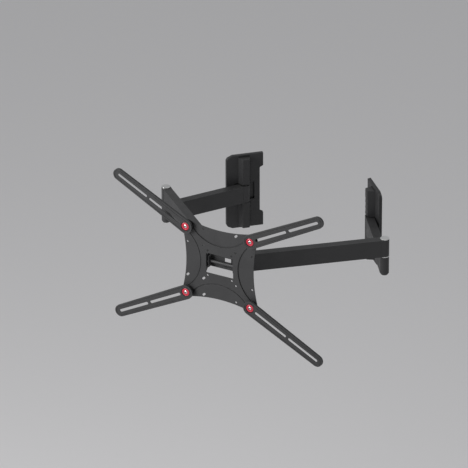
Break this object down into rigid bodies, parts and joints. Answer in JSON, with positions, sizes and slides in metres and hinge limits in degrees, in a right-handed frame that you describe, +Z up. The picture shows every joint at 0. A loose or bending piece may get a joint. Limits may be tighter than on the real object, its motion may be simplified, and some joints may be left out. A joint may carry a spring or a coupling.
{
  "type": "full motion tv wall mount",
  "caption": "Corner wall mount for a television: wall plates on both walls carry two-link swinging arms that meet at a tilting X-shaped plate with slotted adapter arms.",
  "frame": {"origin": "back face of the left wall plate, straight behind its hinge, at the middle of its height", "axes": "+Z up; the screen faces -Y in the shown pose, +X to the right as seen from the front; the walls stand at 45 degrees to X"},
  "size_m": [0.7098, 0.5908, 0.4498],
  "materials": {
    "black_powder_coat": "satin black powder coat on steel, fine grain",
    "black_plastic": "moulded plastic, fine matt texture",
    "bright_zinc": "bright zinc plated, satin",
    "red_plastic": "red moulded plastic, semi-gloss",
    "white_nylon": "natural nylon"
  },
  "bodies": {
    "wall_left": {"wall_plate_left": "black_powder_coat", "hinge_bracket_left": "black_powder_coat", "upper_cover_left": "black_plastic", "lower_cover_left": "black_plastic", "wall_pin_left": "bright_zinc", "wall_bush_upper_left": "white_nylon", "wall_bush_lower_left": "white_nylon"},
    "rear_arm_left": {"rear_link_left": "black_powder_coat", "elbow_pin_left": "bright_zinc", "elbow_ring_left": "bright_zinc"},
    "front_arm_left": {"front_link_left": "black_powder_coat", "elbow_cap_left": "bright_zinc"},
    "wall_right": {"wall_plate_right": "black_powder_coat", "hinge_bracket_right": "black_powder_coat", "upper_cover_right": "black_plastic", "lower_cover_right": "black_plastic", "wall_pin_right": "bright_zinc", "wall_bush_upper_right": "white_nylon", "wall_bush_lower_right": "white_nylon"},
    "rear_arm_right": {"rear_link_right": "black_powder_coat", "elbow_pin_right": "bright_zinc", "elbow_ring_right": "bright_zinc"},
    "front_arm_right": {"front_link_right": "black_powder_coat", "elbow_cap_right": "bright_zinc"},
    "head": {"head_carrier": "black_powder_coat", "tilt_bolt": "black_powder_coat", "tilt_nut": "black_powder_coat", "tilt_washer_left": "white_nylon", "tilt_washer_right": "white_nylon", "head_pin_left": "bright_zinc", "head_pin_right": "bright_zinc", "head_bush_upper_left": "white_nylon", "head_bush_upper_right": "white_nylon", "head_bush_lower_left": "white_nylon", "head_bush_lower_right": "white_nylon"},
    "screen": {"screen_plate": "black_powder_coat", "clamp_disc_upper_left": "red_plastic", "clamp_disc_upper_right": "red_plastic", "clamp_disc_lower_right": "red_plastic", "clamp_disc_lower_left": "red_plastic", "clamp_screw_upper_left": "bright_zinc", "clamp_screw_upper_right": "bright_zinc", "clamp_screw_lower_right": "bright_zinc", "clamp_screw_lower_left": "bright_zinc", "clamp_nut_upper_left": "bright_zinc", "clamp_nut_upper_right": "bright_zinc", "clamp_nut_lower_right": "bright_zinc", "clamp_nut_lower_left": "bright_zinc"},
    "adapter_upper_left": {"adapter_arm_upper_left": "black_powder_coat"},
    "adapter_upper_right": {"adapter_arm_upper_right": "black_powder_coat"},
    "adapter_lower_right": {"adapter_arm_lower_right": "black_powder_coat"},
    "adapter_lower_left": {"adapter_arm_lower_left": "black_powder_coat"}
  },
  "joints": [
    {"name": "wall_hinge_left", "type": "hinge", "parent": "wall_left", "child": "rear_arm_left", "pos_m": [0.01414, -0.01414, 0], "axis": [0, 0, 1], "range_deg": [-10, 160]},
    {"name": "elbow_left", "type": "hinge", "parent": "rear_arm_left", "child": "front_arm_left", "pos_m": [-0.11955, -0.22893, 0.0265], "axis": [0, 0, 1], "range_deg": [-75, 85]},
    {"name": "head_hinge_left", "type": "hinge", "parent": "front_arm_left", "child": "head", "pos_m": [0.17694, -0.48306, 0.053], "axis": [0, 0, 1], "range_deg": [-35, 25]},
    {"name": "tilt", "type": "hinge", "parent": "head", "child": "screen", "pos_m": [0.22594, -0.52306, 0.053], "axis": [1, 0, 0], "range_deg": [-5, 15]},
    {"name": "head_hinge_right", "type": "hinge", "parent": "head", "child": "front_arm_right", "pos_m": [0.27494, -0.48306, 0.053], "axis": [0, 0, 1], "range_deg": [-35, 25]},
    {"name": "elbow_right", "type": "hinge", "parent": "front_arm_right", "child": "rear_arm_right", "pos_m": [0.56423, -0.22075, 0.0265], "axis": [0, 0, 1], "range_deg": [-77, 78]},
    {"name": "wall_hinge_right", "type": "hinge", "parent": "rear_arm_right", "child": "wall_right", "pos_m": [0.41126, -0.01923, 0], "axis": [0, 0, 1], "range_deg": [-3, 165]},
    {"name": "adapter_pivot_upper_left", "type": "hinge", "parent": "screen", "child": "adapter_upper_left", "pos_m": [0.12594, -0.54136, 0.153], "axis": [0, 1, 0], "range_deg": [-27, 62]},
    {"name": "adapter_pivot_upper_right", "type": "hinge", "parent": "screen", "child": "adapter_upper_right", "pos_m": [0.32594, -0.54136, 0.153], "axis": [0, -1, 0], "range_deg": [-27, 62]},
    {"name": "adapter_pivot_lower_right", "type": "hinge", "parent": "screen", "child": "adapter_lower_right", "pos_m": [0.32594, -0.54136, -0.047], "axis": [0, 1, 0], "range_deg": [-27, 62]},
    {"name": "adapter_pivot_lower_left", "type": "hinge", "parent": "screen", "child": "adapter_lower_left", "pos_m": [0.12594, -0.54136, -0.047], "axis": [0, -1, 0], "range_deg": [-27, 62]}
  ]
}
